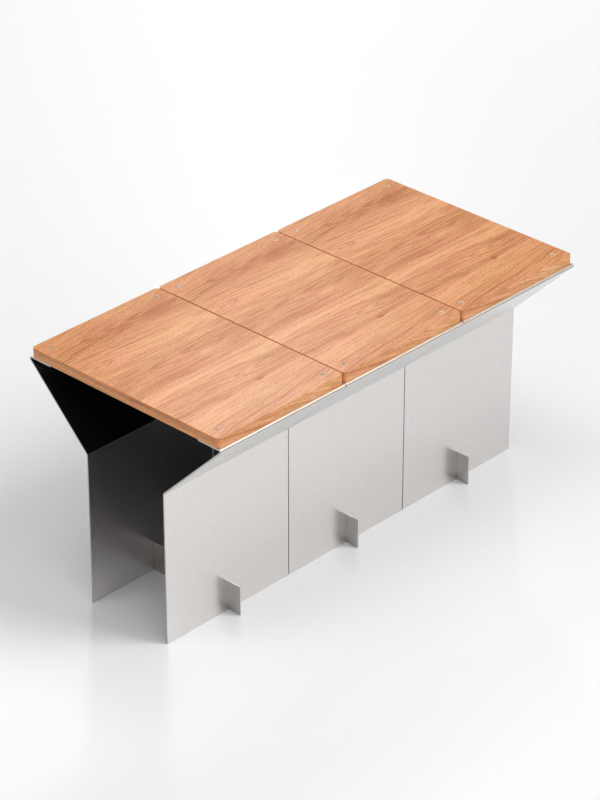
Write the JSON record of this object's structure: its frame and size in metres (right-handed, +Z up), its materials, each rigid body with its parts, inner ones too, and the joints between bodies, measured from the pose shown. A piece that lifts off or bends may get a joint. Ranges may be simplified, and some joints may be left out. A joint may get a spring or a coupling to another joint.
{
  "type": "modular picnic table",
  "caption": "Rectangular outdoor table made of separate modules: flared folded-sheet walls slotted over a cross strip at the floor, with wooden boards screwed to their lips.",
  "frame": {"origin": "on the floor, at the middle of the table's length and depth", "axes": "+X along the row of modules, -Y the side that faces the picture's viewer, +Z up"},
  "size_m": [1.467, 0.7462, 0.75],
  "materials": {
    "brushed_sheet": "fine brushed, plain",
    "oiled_wood": "oiled, satin",
    "fastener_steel": "turned, bright"
  },
  "bodies": {
    "left_module": {"left_front_panel": "brushed_sheet", "left_back_panel": "brushed_sheet", "left_cross_strip": "brushed_sheet", "left_board": "oiled_wood", "left_screws": "fastener_steel", "left_nuts": "fastener_steel"},
    "middle_module": {"middle_front_panel": "brushed_sheet", "middle_back_panel": "brushed_sheet", "middle_cross_strip": "brushed_sheet", "middle_board": "oiled_wood", "middle_screws": "fastener_steel", "middle_nuts": "fastener_steel"},
    "right_module": {"right_front_panel": "brushed_sheet", "right_back_panel": "brushed_sheet", "right_cross_strip": "brushed_sheet", "right_board": "oiled_wood", "right_screws": "fastener_steel", "right_nuts": "fastener_steel"}
  },
  "joints": [
    {"name": "left_module_slide", "type": "slide", "parent": "middle_module", "child": "left_module", "axis": [-1, 0, 0], "range_m": [0, 0.6]},
    {"name": "right_module_slide", "type": "slide", "parent": "middle_module", "child": "right_module", "axis": [1, 0, 0], "range_m": [0, 0.6]}
  ]
}
